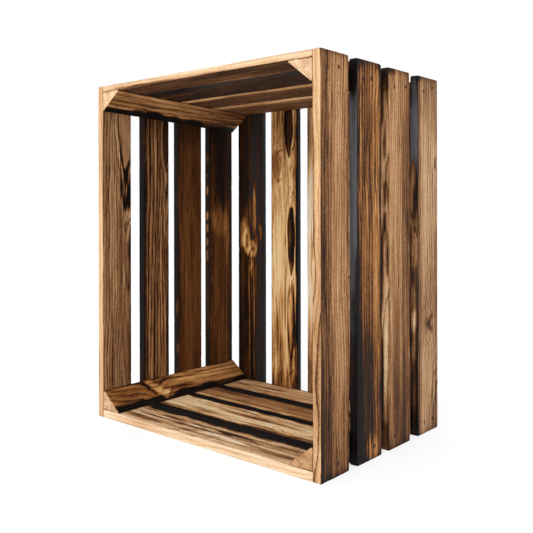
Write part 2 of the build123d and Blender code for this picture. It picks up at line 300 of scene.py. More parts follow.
LOOKS = {
    "right_side_slat_1": dict(
        seed=11, seen="out", dark=0.47, back=0.42, edge0=0.36, lines=0.2, rim=0.26, pith=(-70, 55, 4, 6),
        spacing=5, blotch=0.06, streaks=0.65, saw=1, ragged=0.12, corner=(0.3, 0.7),
        patches={
            "out": ((170, 9, 340, 13, 0.35, 0.12), (250, 3, 400, 2, 0.6, 0.12),
            (210, 7, 330, 0.9, 0.5, 0.14), (180, 11.5, 300, 0.9, 0.5, 0.14),
            (200, 16, 260, 0.8, 0.5, 0.14), (150, 21, 230, 0.8, 0.5, 0.12), (250, 57, 400, 3, 0.8, 0.08),
            (10, 30, 90, 60, 0.9, 0.15)),
            "edge0": ((250, 2.6, 400, 0.9, 0.7, 0.2), (160, 8, 130, 3, 0.8, 0.12),
            (120, 6, 70, 8, 0.9, 0.08))}),
    "right_side_slat_2": dict(
        seed=12, seen="out", dark=0.62, back=0.45, edge0=0.88, lines=0.28, pith=(90, 40, -10, 0),
        spacing=5.2, blotch=0.09, saw=0.35, warm=0.75, arris=0.3, ragged=0.2,
        patches={
            "out": ((495, 4, 8, 12, 0.5, 0.16), (496, 54, 6, 8, 0.5, 0.2), (300, 44, 250, 9, 0.35, -0.14),
            (110, 3, 250, 8, 0.4, 0.18), (390, 9.5, 110, 1.2, 0.6, -0.24), (450, 30, 60, 4, 0.7, -0.1),
            (60, 24, 100, 44, 0.5, 0.2), (12, 34, 18, 14, 0.5, -0.28), (8, 12, 18, 12, 0.6, 0.1)),
            "edge0": ((60, 6, 120, 9, 0.8, 0.1), (105, 4, 50, 3, 0.6, -0.16),
            # The edge patch at the top end is painted shade, where no light comes through the gap.
            (300, 11, 300, 2, 0.8, 0.12), (490, 6, 26, 9, 0.6, 0.1))},
        # Painted grey sheen where light comes through the gap, taken away at the top end, which lies in
        # shade.
        sheen_patches={"edge0": ((340, 5, 150, 8, 0.4, 0.95), (480, 5, 22, 8, 0.6, -0.9))}),
    "right_side_slat_3": dict(
        seed=13, seen="out", dark=0.45, back=0.5, edge0=0.93, lines=0.2, pith=(-90, 40, 0, 10), spacing=5,
        blotch=0.08, streaks=0.7, saw=1, ragged=0.12,
        patches={
            "out": ((496, 4, 6, 12, 0.5, 0.2), (210, 46, 330, 11, 0.25, 0.15),
            (90, 22, 120, 17, 0.7, 0.15), (20, 28, 60, 60, 0.9, 0.1), (350, 22, 90, 9, 0.8, -0.04)),
            "edge0": ((365, 6, 95, 9, 0.3, -0.5), (405, 4, 16, 1.8, 0.4, 0.46),
            (388, 7.5, 15, 1.8, 0.4, 0.46), (352, 3.5, 18, 1.8, 0.4, 0.46), (330, 7, 17, 1.8, 0.4, 0.46),
            (296, 5, 14, 3, 0.4, 0.4), (170, 6.5, 95, 5.4, 0.3, -0.58), (60, 6, 80, 7, 0.6, -0.26),
            (80, 2, 60, 1.6, 0.4, 0.3))}),
    "right_side_slat_4": dict(
        seed=14, seen="out", dark=0.42, back=0.5, edge0=0.92, lines=0.27, pith=(-120, 30, 0, 0),
        spacing=5, wave=5, blotch=0.07, streaks=0.6, saw=0.25, warm=-0.9, ragged=0.07,
        patches={
            "out": ((496, 4, 5, 8, 0.5, 0.16), (40, 52, 60, 2, 0.5, 0.16), (50, 44, 70, 2, 0.5, 0.12),
            (250, 2, 330, 6, 0.5, 0.16), (190, 30, 70, 50, 0.9, 0.09), (470, 25, 40, 60, 0.9, 0.11),
            (20, 25, 50, 60, 0.9, 0.08), (300, 52, 200, 2, 0.7, 0.12), (379, 52, 9, 2, 0.4, 0.45)),
            "edge0": ((300, 5, 90, 6, 0.4, -0.38), (318, 6, 20, 1.6, 0.4, 0.3),
            (275, 3, 20, 1.6, 0.4, 0.3), (180, 5, 36, 3.8, 0.4, -0.6), (130, 4, 40, 2.8, 0.4, -0.5),
            (60, 5, 30, 2.4, 0.5, -0.24))},
        # Painted grey sheen, a painted reflection, on this narrow face.
        sheen_patches={"edge0": ((418, 5, 60, 8, 0.4, 1), (230, 9, 60, 3, 0.4, 0.5))},
        swells=((152, 31, 30, 12, 3),),
        lenses=(("out", -6, 76, 84, 30, 2, 0.04, 0.22),),
        knots=((152, 31, 4.2, 0.3),)),
    "left_side_slat_1": dict(
        seed=21, dark=0.53, back=0.42, edge0=0.31, edge1=0.93, lines=0.34, rim=0.14, pith=(-60, 50, 6, 0),
        spacing=4.4, wave=4, blotch=0.05, streaks=0.8, saw=0.2, warm=-0.25, painted_sheen=0.15, corner=(0.3, 0.9),
        patches={"in": ((346, 47, 30, 10, 0.3, 0.4), (250, 53.5, 34, 3.5, 0.5, 0.26),
            (380, 36, 40, 1.8, 0.5, 0.22), (290, 50, 26, 5, 0.5, -0.12), (372, 33, 70, 1.4, 0.7, 0.1),
            (100, 52, 70, 4, 0.7, 0.08), (250, 36, 190, 3, 0.7, 0.07), (300, 47, 24, 6, 0.8, -0.07),
            (60, 20, 70, 30, 0.9, 0.06))},
        lenses=(("in", 440, 44, 70, 14, 0.8, -0.07, 0.34), ("in", 110, 50, 90, 10, 4, 0, 0.1),
            ("in", 240, 50, 50, 8, 3, 0, 0.1))),
    "left_side_slat_2": dict(
        seed=22, dark=0.61, back=0.5, lines=0.44, pith=(-24, 24, 10, 8), spacing=6.2, wave=5, blotch=0.07,
        streaks=1.3, saw=0.1, warm=0.2,
        patches={"in": ((300, 3, 300, 5, 0.8, 0.12), (480, 25, 34, 60, 0.9, 0.08),
            (150, 50, 150, 2, 0.6, 0.14))},
        swells=((250, 44, 90, 12, 1.2),),
        lenses=(("in", 420, 48, 50, 8, 2.6, 0.18, -0.18),)),
    "left_side_slat_3": dict(
        seed=23, dark=0.68, back=0.46, lines=0.08, pith=(-260, 60, 0, 0), spacing=6, wave=4, blotch=0.06,
        streaks=0.5, saw=1, warm=0.8, arris=0.16, ragged=0.07,
        patches={
            "in": ((470, 27, 40, 60, 0.9, 0.1), (80, 30, 90, 30, 0.9, -0.05),
            (240, 30, 60, 20, 0.9, -0.04)),
            "edge0": ((150, 3, 16, 3, 0.5, -0.3), (80, 3, 10, 3, 0.5, -0.3), (40, 3, 16, 3, 0.5, -0.2))}),
    "left_side_slat_4": dict(
        seed=24, dark=0.66, back=0.48, lines=0.08, pith=(-260, 60, 0, 0), spacing=5.6, wave=4,
        blotch=0.07, streaks=0.6, saw=0.8, warm=0.85, arris=0.2,
        patches={
            "in": ((424, 28, 106, 36, 0.14, 0.16), (420, 5, 100, 3, 0.6, -0.08),
            (290, 28, 24, 20, 0.35, -0.15), (262, 44, 44, 7, 0.4, -0.14), (180, 18, 120, 15, 0.8, -0.04),
            (150, 55, 220, 6, 0.6, 0.14)),
            "edge0": ((400, 4, 8, 2.4, 0.4, -0.3), (372, 4, 6, 2.4, 0.4, -0.3),
            (345, 5, 9, 3, 0.4, -0.44), (300, 5, 9, 3.2, 0.4, -0.56), (278, 5, 8, 3.2, 0.4, -0.56),
            (256, 5, 8, 3.2, 0.4, -0.54), (232, 5, 10, 3, 0.4, -0.46), (130, 4, 90, 2.2, 0.6, -0.26))}),
    "base_slat_1": dict(
        seed=31, dark=0.84, back=0.62, edge1=0.97, lines=0.05, pith=(38, 40, 10, 30), spacing=6, wave=8,
        blotch=0.05, streaks=0.9, saw=0.1, warm=1, ragged=0.09, painted_sheen=0.2,
        patches={"in": ((270, 11, 30, 7, 0.25, -0.34), (258, 20, 24, 9, 0.25, -0.42),
            (296, 20, 30, 2.6, 0.4, -0.28), (310, 28, 26, 2.4, 0.4, -0.2),
            (308, 37, 42, 4.2, 0.35, -0.36), (345, 39, 22, 2.4, 0.5, -0.18),
            (243, 32, 14, 10, 0.3, -0.44), (272, 51, 15, 3.6, 0.5, -0.34), (256, 43, 12, 4, 0.5, -0.26),
            (214, 31, 20, 4, 0.4, -0.34), (190, 24, 40, 1.6, 0.4, -0.22), (190, 40, 44, 1.6, 0.4, -0.24),
            (130, 26, 110, 1.4, 0.5, -0.26), (125, 36, 110, 1.4, 0.5, -0.28),
            (170, 31, 60, 1.2, 0.5, -0.22), (200, 20, 50, 1.2, 0.6, -0.2), (430, 16, 60, 2, 0.9, -0.1),
            (410, 27, 70, 1.6, 0.9, -0.1), (440, 8, 50, 1.6, 0.9, -0.1), (2, 32, 3, 60, 0.5, -0.24))},
        # Painted grey sheen, a painted reflection, on the char.
        sheen_patches={"in": ((400, 44, 150, 20, 0.8, 0.28), (90, 50, 120, 12, 0.8, 0.2))},
        swells=((262, 24, 46, 14, 3),),
        knots=((264, 19, 2, 0.34), (243, 34, 1.8, 0.34), (250, 27, 1.2, 0.3))),
    "base_slat_2": dict(
        seed=32, dark=0.14, back=0.5, edge1=0.97, lines=0.26, pith=(-30, 30, -6, 10), spacing=5, wave=5,
        blotch=0.12, streaks=1.1, saw=0.1, warm=0.85, ragged=0.22, painted_sheen=0.15,
        patches={"in": ((290, 58, 300, 4.6, 0.3, 0.6), (60, 44, 60, 7, 0.5, 0.3),
            (130, 50, 46, 4, 0.4, 0.4), (100, 36, 30, 3, 0.4, 0.3), (150, 30, 40, 2.4, 0.4, 0.22),
            (60, 22, 44, 5, 0.4, 0.32), (100, 14, 40, 5, 0.5, 0.28), (420, 15, 90, 7, 0.6, 0.14),
            (440, 53, 90, 5, 0.5, 0.34), (250, 55, 110, 2.5, 0.5, 0.3), (320, 43, 14, 6, 0.4, 0.14),
            (345, 43, 16, 2.4, 0.5, -0.12), (386, 11, 26, 7, 0.7, 0.24), (386, 3, 24, 3, 0.6, 0.16),
            (330, 49, 120, 5, 0.6, 0.14), (300, 30, 190, 1, 0.7, 0.14), (440, 8, 50, 10, 0.9, 0.16),
            (440, 26, 60, 6, 0.7, 0.26), (140, 50, 66, 6, 0.6, 0.14), (2, 30, 30, 70, 0.6, 0.4),
            (150, 22, 30, 9, 0.7, 0.1), (220, 16, 60, 9, 0.8, -0.06), (70, 3, 60, 4, 0.5, 0.3),
            (70, 54, 60, 4, 0.6, 0.26), (300, 18, 90, 10, 0.9, -0.05), (2, 32, 3, 60, 0.5, -0.3))},
        lenses=(("in", 450, 38, 54, 9.5, 3, 0.62, -0.16), ("in", 254, 43, 62, 8.5, 4, 0.66, -0.22),
            ("in", 120, 42, 62, 6.5, 2, 0.06, 0.3), ("in", 386, 12, 24, 8, 2, 0, 0.1)),
        knots=((318, 42, 2.6, 0.12),)),
    "base_slat_3": dict(
        seed=33, dark=-0.03, back=0.45, lines=0.2, pith=(-40, 50, 10, 0), spacing=5, wave=8, streaks=0.85,
        saw=0.1, warm=0.25, painted_sheen=0.15,
        patches={"in": ((30, 32, 82, 80, 0.6, 0.55), (450, 12, 62, 22, 0.4, 0.34),
            (400, 3, 70, 4, 0.7, 0.16), (232, 12, 26, 12, 0.8, 0.14), (2, 32, 3, 60, 0.5, -0.3))},
        lenses=(("in", 330, 44, 40, 12, 4, 0, 0.1),),
        knots=((330, 44, 4, 0.25),)),
    "base_slat_4": dict(
        seed=34, dark=0.36, back=0.42, lines=0.3, pith=(30, 26, 10, 22), spacing=5.6, wave=12, painted_sheen=0.15,
        patches={"in": ((30, 32, 52, 70, 0.7, 0.45), (470, 32, 40, 70, 0.7, 0.25))},
        lenses=(("in", 250, 30, 90, 12, 4, 0.16, 0.1),)),
    "base_slat_5": dict(
        seed=35, dark=0.72, back=0.5, pith=(80, 40, 0, 0), spacing=4.8, blotch=0.12, painted_sheen=0.15,
        patches={"in": ((200, 30, 90, 10, 0.4, -0.25), (360, 18, 60, 8, 0.4, -0.22),
            (250, 54, 400, 8, 0.5, 0.2))}),
    "bottom_end_slat_1": dict(
        **BOTTOM_END, seed=41, dark=0.22, back=0.45, edge0=0.17, lines=0.18, pith=(26, 60, 14, 20),
        spacing=5.6, wave=6, streaks=1.1, warm=-0.1, rim_warm=-0.5, arris=0.66, bite=4.6, ragged=0.62,
        patches={"in": ((130, 40, 40, 4, 0.5, 0.18), (340, 46, 50, 4, 0.4, 0.3),
            (70, 15, 40, 6, 0.6, 0.26), (150, 30, 80, 2.6, 0.5, 0.28), (250, 42, 90, 3, 0.5, 0.26),
            (320, 20, 60, 6, 0.5, 0.3), (300, 33, 70, 4, 0.5, 0.22), (210, 14, 90, 2, 0.6, 0.2),
            (60, 46, 60, 4, 0.6, 0.2), (190, 59, 300, 4, 0.4, 0.4))}),
    "bottom_end_slat_2": dict(
        **BOTTOM_END, seed=42, dark=0.1, back=0.45, edge0=0.96, lines=0.2, pith=(34, 40, -8, 16),
        spacing=5.2, wave=8, streaks=1.1, warm=0.5, arris=0.62, bite=3.8, ragged=0.62,
        patches={"in": ((80, 8, 60, 4, 0.4, 0.3), (240, 12, 40, 3, 0.4, 0.22),
            (205, 36, 60, 5, 0.4, 0.34), (150, 44, 60, 2.6, 0.5, 0.22), (270, 46, 60, 2.4, 0.5, 0.2),
            (130, 16, 50, 3, 0.5, 0.24), (352, 30, 28, 6, 0.4, 0.4), (330, 8, 40, 4, 0.5, 0.3),
            (250, 4, 60, 4, 0.4, 0.3), (100, 30, 50, 8, 0.8, -0.06))},
        lenses=(("in", 300, 24, 46, 14, 5, -0.03, 0.12),),
        knots=((312, 22, 2.4, 0.2),)),
    "bottom_end_slat_3": dict(
        **BOTTOM_END, seed=43, dark=0.41, back=0.5, edge0=0.97, lines=0.2, pith=(70, 40, 0, 0), spacing=5,
        wave=6, blotch=0.09, saw=0.6, warm=0.45, arris=0.45, bite=3.4, ragged=0.22,
        patches={"in": ((200, 1, 300, 2.4, 0.5, -0.3), (160, 6, 160, 3, 0.6, -0.16),
            (200, 14, 200, 3, 0.6, 0.16), (80, 40, 60, 6, 0.7, 0.1), (250, 34, 90, 3, 0.6, 0.12))}),
    "bottom_end_slat_4": dict(
        **BOTTOM_END, seed=44, dark=0.23, back=0.45, edge0=0.97, lines=0.18, pith=(-60, 40, 0, 0),
        spacing=5, wave=6, blotch=0.09, saw=0.6, warm=0.4, arris=0.4, bite=3, ragged=0.5,
        patches={"in": ((60, 40, 70, 14, 0.9, 0.1),)}),
    "top_end_slat_1": dict(
        **TOP_END, seed=51, dark=0.7, back=0.42, edge0=0.24, edge1=0.96, lines=0.24, rim=0.09,
        pith=(-60, 60, 0, 0), warm=0.2, rim_warm=-0.5, ragged=0.14,
        patches={"edge0": ((44, 1.6, 40, 2, 0.6, 0.34), (105, 1, 40, 2, 0.6, 0.34),
            (185, 0.4, 60, 1.7, 0.6, 0.3), (290, 0.2, 60, 1.3, 0.6, 0.24))},
        dents=((387, -1.4, -1, 3.6),)),
    "top_end_slat_2": dict(
        **TOP_END, seed=52, dark=0.8, back=0.46, edge0=0.9, pith=(30, 60, 10, 20), spacing=5.2, warm=0.6,
        # Painted grey sheen, a painted reflection, on the narrow face.
        sheen_patches={"edge0": ((240, 4, 80, 6, 0.7, 0.28),)}),
    "top_end_slat_3": dict(
        **TOP_END, seed=53, dark=0.7, back=0.44, edge0=0.52, pith=(90, 50, 0, 0), warm=0.4),
    "top_end_slat_4": dict(
        **TOP_END, seed=54, dark=0.6, back=0.5, edge0=0.46, lines=0.2, pith=(-50, 60, 0, 0), spacing=4.8,
        warm=0.3),
    "upper_left_post": dict(
        seed=61, dark=0.49, ends=0.24, pith=(20, 60, 8, 10), spacing=5.2, wave=5, blotch=0.07, warm=0.45,
        ragged=0.16,
        patches={"in": ((90, 0, 260, 10, 0.25, 0.46), (250, 20, 40, 40, 0.9, 0.12),
            (96, 9, 16, 5, 0.4, 0.36), (140, 8, 12, 5, 0.4, 0.3), (186, 9, 20, 4, 0.4, 0.34),
            (60, 10, 10, 3, 0.4, 0.26), (150, 22, 100, 9, 0.9, -0.06), (40, 30, 60, 6, 0.7, 0.1))}),
    "upper_right_post": dict(
        seed=62, dark=0.7, ends=0.27, lines=0.1, spacing=4, end_warm=-1),
    "lower_left_post": dict(
        seed=63, dark=0.52, ends=0.35, lines=0.26, pith=(10, 50, 8, 14), spacing=5.2, wave=6, warm=0.9,
        end_warm=-1, ragged=0.18,
        patches={"in": ((150, 37, 280, 8, 0.35, 0.42), (74, 4, 3.6, 6, 0.3, 0.26),
            (79, 12, 3.6, 6, 0.3, 0.26), (85, 21, 3.6, 6, 0.3, 0.26), (92, 31, 3.6, 6, 0.3, 0.26),
            (86, 7, 8, 6, 0.4, -0.22), (94, 16, 10, 7, 0.4, -0.28), (104, 27, 12, 8, 0.4, -0.32),
            (180, 12, 50, 8, 0.6, -0.16), (250, 14, 40, 10, 0.6, -0.1), (150, 22, 20, 7, 0.5, 0.16),
            (20, 14, 30, 30, 0.8, 0.08), (140, 31, 18, 4, 0.4, 0.3), (200, 30, 16, 5, 0.4, 0.34),
            (48, 31, 12, 3, 0.4, 0.24))},
        swells=((96, 34, 24, 40, 1.6),)),
    "lower_right_post": dict(
        seed=64, dark=0.6, ends=0.4, lines=0.1, spacing=4),
}


def look_of(name):
    return {**DEFAULT, **LOOKS[name]}


# ---- grain and char ----
# A piece's seed plus a small number picks one pattern of noise, so no two uses share one.
KNOT_LENGTH = 1.3         # length of a knot over its width
KNOT_RING = 1.1           # millimetres between a knot's rings
LENS_HALO = 3.2           # reach at which the rings round a lens have faded
LENS_RING = 6.5           # millimetres between the rings round a lens
RAW_RIM = 0.5             # a front rim lighter than this was sawn after the flame
RIM_LINE, RIM_LINE_WIDTH, RIM_LINE_DARK = 0.9, 0.7, 0.10    # the scorched line beside it
FLAME_PATCH = -0.3        # a patch lighter than this shows its rings in charred wood
FLAME_LINES = 0.16        # how strongly those rings show
NARROW_LINES, CUT_LINES = 0.08, 0.07    # the same on narrow faces and on end grain
END_CHAR, END_BITE = 0.22, 5.0          # char at a board's ends and how far it reaches
SAW_ELSEWHERE = 0.2       # saw marks on the face that isn't seen
POST_HIDDEN = dict(end1=0.7, edge0=0.8, out=0.8)    # a post's faces against other boards


def bump_at(u, v, middle_u, middle_v, half_u, half_v):
    return np.exp(-((u - middle_u) / half_u) ** 2 - ((v - middle_v) / half_v) ** 2)


def lens_reach(u, v, middle_u, middle_v, half_u, half_v, seed):
    """0 at the middle of a drop along the grain, blunt at its top and pointed at its foot, and 1
    on its outline.  Its outer rings are drawn out downwards."""
    along = (u - middle_u) / half_u
    along = np.where(along < -1, -1 + (along + 1) * 0.45, along)
    fuller = np.clip(1 + 0.25 * along, 0.5, 1.3)
    blunt = 2.0 + 0.6 * np.clip(along, -0.8, 1)
    reach = along ** 2 + np.abs((v - middle_v) / half_v / fuller) ** blunt
    return reach * (1 + 0.26 * fractal(u / 26, v / 9, seed=seed + 71))


def knot_reach(u, v, middle_u, middle_v):
    """Distance from a knot's middle, in millimetres across the grain."""
    return np.hypot((u - middle_u) / KNOT_LENGTH, v - middle_v)


def ring_phase(p, size, look):
    """How many growth rings lie between each point and the heart of the tree."""
    u, v, w = p.T
    seed = look["seed"]
    along = u / size[0] - 0.5
    heart_v, depth, lean, rise = look["pith"]
    heart = heart_v + lean * along + 5 * fractal(u / 170, seed=seed)
    depth = depth + rise * along + look["wave"] * fractal(u / 120, seed=seed + 3)
    below = w if look["seen"] == "in" else size[2] - w
    phase = np.hypot(v - heart, depth + below) / look["spacing"]
    phase += 0.45 * fractal(u / 120, v / 16, w / 16, seed=seed + 5)
    for *shape, rings in look["swells"]:
        phase += rings * bump_at(u, v, *shape)
    for _, *shape, rings, _, _ in look["lenses"]:
        phase += 0.5 * rings * np.maximum(LENS_HALO - lens_reach(u, v, *shape, seed), 0)
    for middle_u, middle_v, radius, _ in look["knots"]:
        reach = knot_reach(u, v, middle_u, middle_v)
        inside = 1 - smooth(0.7 * radius, 1.15 * radius, reach)
        phase = phase * (1 - inside) + (phase.min() + reach / KNOT_RING) * inside
    return phase


def ring_line(phase, seed):
    """1 on the hard late wood of each ring, 0 between."""
    part = phase - np.floor(phase)
    zero = np.zeros(len(phase), int)
    strength = 0.7 + 0.3 * lattice_value(np.floor(phase).astype(np.int64), zero, zero, seed)
    return np.interp(part, (0, 0.35, 0.8, 0.92, 1.0), (0, 0.12, 0.6, 1.0, 0.0)) * strength


def face_shares(p, size, post):
    """How much each point belongs to each face of its piece."""
    u, v, w = p.T
    far = {"end0": u, "end1": size[0] - u, "edge0": v, "out": size[2] - w, "in": w,
           "edge1": size[1] - v}
    if post:
        far.update({"out": w, "in": post_height(v, size) - w, "edge1": np.full(len(u), 99.0)})
    shares = {key: 1 / (distance + 0.12) ** 2 for key, distance in far.items()}
    total = sum(shares.values())
    return {key: share / total for key, share in shares.items()}


def face_darkness(look, shares, post):
    """Each face's own darkness."""
    hidden = "out" if look["seen"] == "in" else "in"
    darkness = {look["seen"]: look["dark"], hidden: look["back"], "edge0": look["edge0"],
                "edge1": look["edge1"], "end0": look["ends"], "end1": look["ends"]}
    if post:
        darkness.update(POST_HIDDEN)
    return sum(shares[key] * darkness[key] for key in shares)


def uneven_burn(p, look):
    """Clouds and long streaks of more and less flame."""
    u, v, w = p.T
    seed = look["seed"]
    clouds = fractal(u / 80, v / 11, w / 11, seed=seed + 21, octaves=4)
    streaks = noise(u / 230, v / 4.5, w / 4.5, seed=seed + 23)
    return look["blotch"] * (clouds + 0.6 * streaks)


def edge_char(p, size, look, raw_rim):
    """The flame bites deepest along the arrises and at the ends."""
    u, v, w = p.T
    seed = look["seed"]
    bite = 1 + 1.5 * fractal(u / 20, v / 20, w / 30, seed=seed + 25, octaves=4)
    reach = look["bite"] * np.maximum(bite, 0.12)
    end_reach = END_BITE * np.maximum(1 + 0.8 * fractal(v / 6, seed=seed + 27), 0.2)
    char = look["arris"] * np.exp(-(size[1] - v) / reach)
    if not raw_rim:
        char = char + look["arris"] * np.exp(-v / reach)
    for distance in (u, size[0] - u):
        char = char + END_CHAR * np.exp(-distance / end_reach)
    return char


def paint(name, p, size, post=False):
    """Named values for the material at each point."""
    look = look_of(name)
    seed = look["seed"]
    u, v, w = p.T
    shares = face_shares(p, size, post)
    big = shares["in"] + shares["out"]
    narrow = shares["edge0"] + shares["edge1"]
    cut = shares["end0"] + shares["end1"]
    raw_rim = look["edge0"] < RAW_RIM
    dark = face_darkness(look, shares, post) + uneven_burn(p, look)
    if not post:
        dark = dark + big * edge_char(p, size, look, raw_rim)
    if raw_rim:
        line = np.exp(-((v - RIM_LINE) / RIM_LINE_WIDTH) ** 2)
        dark = dark + RIM_LINE_DARK * big * line * (1 + fractal(u / 14, seed=seed + 29))
    contrast = look["lines"] * big + NARROW_LINES * narrow + CUT_LINES * cut
    contrast = contrast + (look["rim"] - NARROW_LINES) * shares["edge0"] * raw_rim

    # The outlines of patches wander.
    warp_u = 0.45 * fractal(u / 40, v / 2.8, w / 2.8, seed=seed + 31, octaves=4)
    warp_v = 0.45 * fractal(u / 40, v / 5.0, w / 5.0, seed=seed + 33, octaves=4)

    def patches(by_face):
        """Each patch's change and how much of it each point has."""
        for face, found in by_face.items():
            across = w if face.startswith("edge") else v
            for middle_u, middle_v, half_u, half_v, soft, change in found:
                reach = np.hypot((u - middle_u) / half_u + warp_u,
                                 (across - middle_v) / half_v + warp_v)
                yield change, shares[face] * (1 - smooth(1 - soft, 1 + soft, reach))

    # flame adds rings to charred wood; calm weakens the rest inside a lens.
    flame, calm = 0.0, 1.0
    for change, patch in patches(look["patches"]):
        dark = dark + change * patch
        if change < FLAME_PATCH:
            flame = flame + FLAME_LINES * patch
    for face, *shape, _, inside, outline in look["lenses"]:
        half_v = shape[3]
        reach = lens_reach(u, v, *shape, seed)
        beyond = (np.sqrt(np.maximum(reach, 0)) - 1) * half_v
        rings = np.cos(2 * np.pi * beyond / LENS_RING) * np.exp(-np.abs(beyond) / 6)
        rings = rings * smooth(-2.6, -1.2, beyond)
        filled = inside
        if abs(inside) > 0.3:
            filled = inside + 0.08 * noise(u / 25, v / 1.6, seed=seed + 73)
        filled = filled * (1 - smooth(0.78, 1.06, reach))
        dark = dark + shares[face] * (filled + outline * rings)
        inner = shares[face] * (1 - smooth(0.75, 1.0, reach))
        ringed = shares[face] * smooth(LENS_HALO, 1.2, reach) * smooth(0.7, 1.0, reach)
        calm = calm * (1 - 0.8 * inner)
        contrast = contrast * (1 - 0.8 * inner) + 0.8 * abs(outline) * ringed
    for middle_u, middle_v, radius, change in look["knots"]:
        reach = knot_reach(u, v, middle_u, middle_v)
        dark = dark + change * (1 - smooth(0.75 * radius, 1.25 * radius, reach))
        dark = dark + 0.10 * np.exp(-((reach - 1.5 * radius) / (0.6 * radius)) ** 2)
    # Painted grey sheen, a painted reflection on char: on the narrow faces and in patches.
    painted_sheen = look["painted_sheen"] * (1 - big)
    for change, patch in patches(look["sheen_patches"]):
        painted_sheen = painted_sheen + change * patch

    shown = shares[look["seen"]] + 0.5 * narrow
    return {"ring": ring_phase(p, size, look),
            "dark": dark,
            "contrast": contrast * (1 - 1.5 * smooth(0.70, 0.92, dark)) + flame,
            "ragged": look["ragged"] * big * calm + 0.06 * narrow * (not raw_rim),
            "saw": (look["saw"] - SAW_ELSEWHERE) * shown + SAW_ELSEWHERE * big,
            "warm": (look["warm"] * shown + look["end_warm"] * shares["end0"]
                     + look["rim_warm"] * shares["edge0"]),
            "painted_sheen": np.clip(painted_sheen, 0, 1),
            "streak": (look["streaks"] * big * calm + (0.35 if raw_rim else 0.6) * narrow
                       + 0.25 * cut),
            "grain": p + seed * np.array([613.0, 71.0, 37.0])}


# ---- shape ----
RELIEF = 0.22             # depth of the soft early wood below the hard lines
NAIL_CRATER = 0.95        # depth of the hollow round a nail head, between these radii
CRATER_INNER, CRATER_OUTER = 1.85, 2.5
CORNER_REACH = 5.0        # how far the wear of a corner spreads
ARRIS_RADIUS, CHIP_RADIUS = 0.45, 0.9


def round_box(p, size, look):
    """Pull the points of a box onto rounded arrises, more worn in places and at the corners."""
    u, v, w = p.T
    seed = look["seed"]
    radius = ARRIS_RADIUS + 0.25 * fractal(u / 16, v / 12, w / 12, seed=seed + 41)
    chips = smooth(0.35, 0.8, fractal(u / 9, v / 9, w / 9, seed=seed + 43))
    radius = radius + CHIP_RADIUS * chips
    for end_u in (0, size[0]):
        for end_v, wear in zip((0, size[1]), look["corner"]):
            worn = 0.75 + 0.5 * noise(end_u + 0.5, end_v + 0.5, seed=seed + 45)
            radius = radius + wear * worn * bump_at(u, v, end_u, end_v, CORNER_REACH, CORNER_REACH)
    radius = np.clip(radius, 0.25, 0.45 * size[2])
    low = np.stack([radius] * 3, 1)
    core = np.clip(p, low, size - low)
    away = p - core
    length = np.linalg.norm(away, axis=1)
    scale = np.where(length > 1e-9, radius / np.maximum(length, 1e-9), 0)
    return core + away * scale[:, None]


def pull_in(moved, axis, share, near_loss, far_loss):
    """Take material off both faces that are square to an axis; share is 0 to 1 between them."""
    moved[:, axis] += (1 - share) * near_loss - share * far_loss


def carve(moved, look):
    """Chips: points inside a ball are pushed back to its surface."""
    for *middle, radius in look["dents"]:
        away = moved - np.array(middle)
        length = np.linalg.norm(away, axis=1)
        inside = length < radius
        moved[inside] = np.array(middle) + away[inside] * (radius / length[inside])[:, None]
    return moved


def shape_board(p, size, look, phase, nails):
    u, v, w = p.T
    seed = look["seed"]
    moved = round_box(p, size, look)
    soft = RELIEF * (1 - ring_line(phase, seed))
    fibre = 0.05 * noise(u / 30, v / 0.9, w / 0.9, seed=seed + 51)
    waves = 0.08 * (1 + fractal(u / 90, v / 25, seed=seed + 53))
    skin = np.maximum(soft + fibre + waves, 0)
    sides = [0.08 + 0.08 * fractal(u / 75, seed=seed + pattern) + 0.15 * soft
             for pattern in (55, 57)]
    end = 0.09 + 0.08 * fractal(v / 6, w / 3, seed=seed + 59)
    skin_out = skin.copy()
    for nail_u, nail_v, _ in nails:
        reach = np.hypot(u - nail_u, v - nail_v)
        ragged = 0.25 * noise(np.arctan2(v - nail_v, u - nail_u) * 2, seed=seed + 61)
        bowl = 1 - smooth(CRATER_INNER, CRATER_OUTER + ragged, reach)
        skin_out = skin_out * (1 - bowl) + NAIL_CRATER * bowl
    pull_in(moved, 0, u / size[0], end, end)
    pull_in(moved, 1, v / size[1], *sides)
    pull_in(moved, 2, w / size[2], skin, skin_out)
    return carve(moved, look)


# ---- posts ----
POST_BLUNT = 2.0          # width of the triangle's two blunted tips
POST_ROWS = 32            # rows of points across the slant
POST_LAYERS = [*np.linspace(0, 0.9, 12), 0.95, 1.0]     # from the end boards to the slant
SKIN = 0.02               # a post's other faces stay this far inside its CAD box


def post_height(v, size):
    """Thickness of a post's triangle at distance v from the side wall."""
    slope = (size[2] - POST_BLUNT) / (size[1] - POST_BLUNT)
    return size[2] - slope * np.maximum(v - POST_BLUNT, 0)


